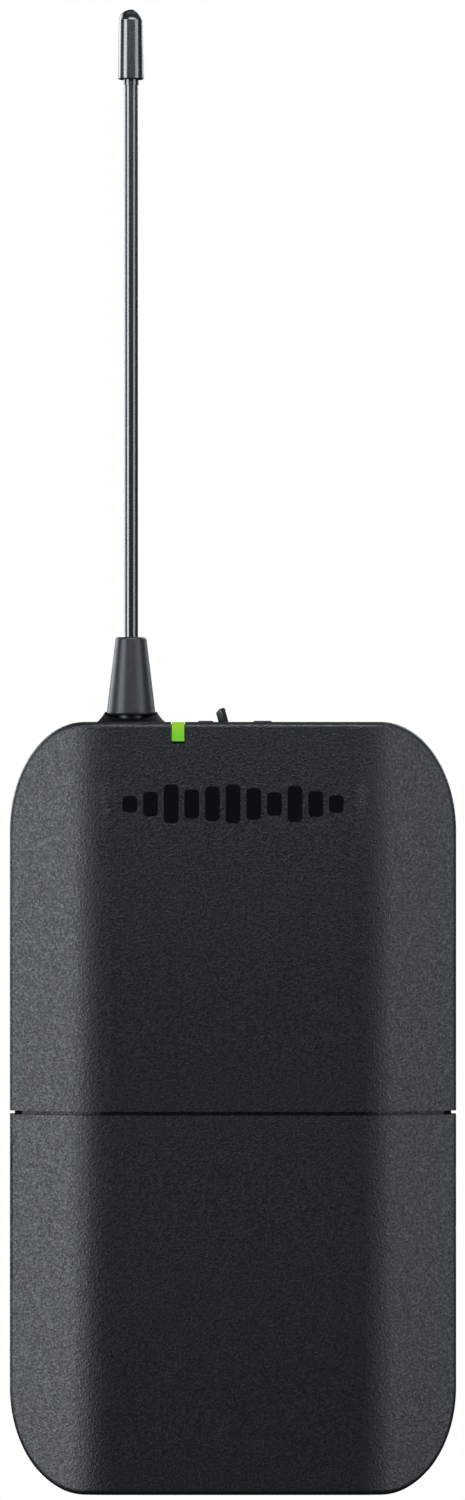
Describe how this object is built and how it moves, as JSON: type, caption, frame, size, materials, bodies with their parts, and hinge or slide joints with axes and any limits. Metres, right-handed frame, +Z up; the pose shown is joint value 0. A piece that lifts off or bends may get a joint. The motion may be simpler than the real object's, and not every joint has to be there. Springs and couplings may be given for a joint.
{
  "type": "wireless bodypack transmitter",
  "caption": "Pocket-sized wireless bodypack transmitter with a whip antenna, top controls, a mini microphone socket, a hinged battery door and a wire belt clip.",
  "frame": {"origin": "centre of the bottom face, midway through the body's depth", "axes": "+Z up towards the antenna, +X to the right seen from the front, -Y out of the front face"},
  "size_m": [0.064, 0.028, 0.2129],
  "materials": {
    "housing": "spark-eroded texture",
    "panel_black": "fine matte",
    "latch_black": "fine matte",
    "pin_steel": "ground",
    "clip_wire": "black oxide",
    "screw_black": "black zinc",
    "label_film": "satin film",
    "cell_jacket": "printed shrink sleeve",
    "spring_nickel": "nickel plate",
    "contact_nickel": "nickel plate",
    "tray_black": "moulded",
    "foam_grey": "closed-cell foam",
    "toggle_black": "satin",
    "switch_body": "moulded",
    "light_green": "clear tinted",
    "led_body": "clear",
    "window_smoke": "smoked acrylic",
    "display_dark": "filled epoxy",
    "button_grey": "satin",
    "plunger_black": "moulded",
    "dial_white": "moulded",
    "pot_blue": "moulded",
    "socket_nickel": "satin nickel",
    "insert_black": "moulded",
    "pin_gold": "gold flash",
    "whip_jacket": "extruded",
    "boot_rubber": "moulded",
    "board_green": "solder mask",
    "shield_tin": "tin plate",
    "chip_black": "moulded epoxy"
  },
  "bodies": {
    "root": {"front_cover": "housing", "rear_case": "housing", "door_hinge_pin": "pin_steel", "top_panel": "panel_black", "housing_screws": "screw_black", "rear_label": "label_film", "battery_left": "cell_jacket", "battery_right": "cell_jacket", "battery_spring_left": "spring_nickel", "battery_spring_right": "spring_nickel", "battery_tray": "tray_black", "contact_bridge": "contact_nickel", "contact_plates": "contact_nickel", "power_switch_body": "switch_body", "status_light_pipe": "light_green", "status_led": "led_body", "display_window": "window_smoke", "digit_display": "display_dark", "channel_tact_switch": "switch_body", "gain_pot_body": "pot_blue", "connector_shell": "socket_nickel", "connector_insert": "insert_black", "connector_pins": "pin_gold", "connector_nut": "socket_nickel", "antenna_whip": "whip_jacket", "antenna_tip_cap": "boot_rubber", "antenna_boot": "boot_rubber", "antenna_collar": "panel_black", "antenna_ferrule": "pin_gold", "control_board": "board_green", "main_board": "board_green", "rf_shield_can": "shield_tin", "board_chips": "chip_black", "board_screws": "screw_black"},
    "power_toggle": {"power_switch_lever": "toggle_black"},
    "channel_key": {"channel_button": "button_grey", "tact_plunger": "plunger_black"},
    "gain_dial": {"gain_trimmer_dial": "dial_white"},
    "door": {"battery_door": "housing", "door_pad": "foam_grey", "latch_spring_left": "spring_nickel", "latch_spring_right": "spring_nickel"},
    "latch_left": {"door_latch_left": "latch_black"},
    "latch_right": {"door_latch_right": "latch_black"},
    "clip": {"belt_clip": "clip_wire"}
  },
  "joints": [
    {"name": "power_toggle", "type": "hinge", "parent": "root", "child": "power_toggle", "pos_m": [0, -0.0046, 0.1054], "axis": [0, 1, 0], "range_deg": [0, 30]},
    {"name": "channel_button", "type": "slide", "parent": "root", "child": "channel_key", "axis": [0, 0, -1], "range_m": [0, 0.0003], "stiffness_N_per_m": 800},
    {"name": "gain_trimmer", "type": "hinge", "parent": "root", "child": "gain_dial", "pos_m": [0.0046, 0.0032, 0.107], "axis": [0, 0, 1], "range_deg": [-135, 135]},
    {"name": "battery_door", "type": "hinge", "parent": "root", "child": "door", "pos_m": [0, 0.0006, 0.0013], "axis": [1, 0, 0], "range_deg": [0, 90]},
    {"name": "door_latch_left", "type": "slide", "parent": "door", "child": "latch_left", "axis": [1, 0, 0], "range_m": [0, 0.0009], "stiffness_N_per_m": 500, "deforming": ["latch_spring_left"]},
    {"name": "door_latch_right", "type": "slide", "parent": "door", "child": "latch_right", "axis": [-1, 0, 0], "range_m": [0, 0.0009], "stiffness_N_per_m": 500, "deforming": ["latch_spring_right"]},
    {"name": "belt_clip", "type": "hinge", "parent": "root", "child": "clip", "pos_m": [0, 0.0126, 0.088], "axis": [1, 0, 0], "range_deg": [0, 20], "stiffness_Nm_per_rad": 0.4}
  ]
}
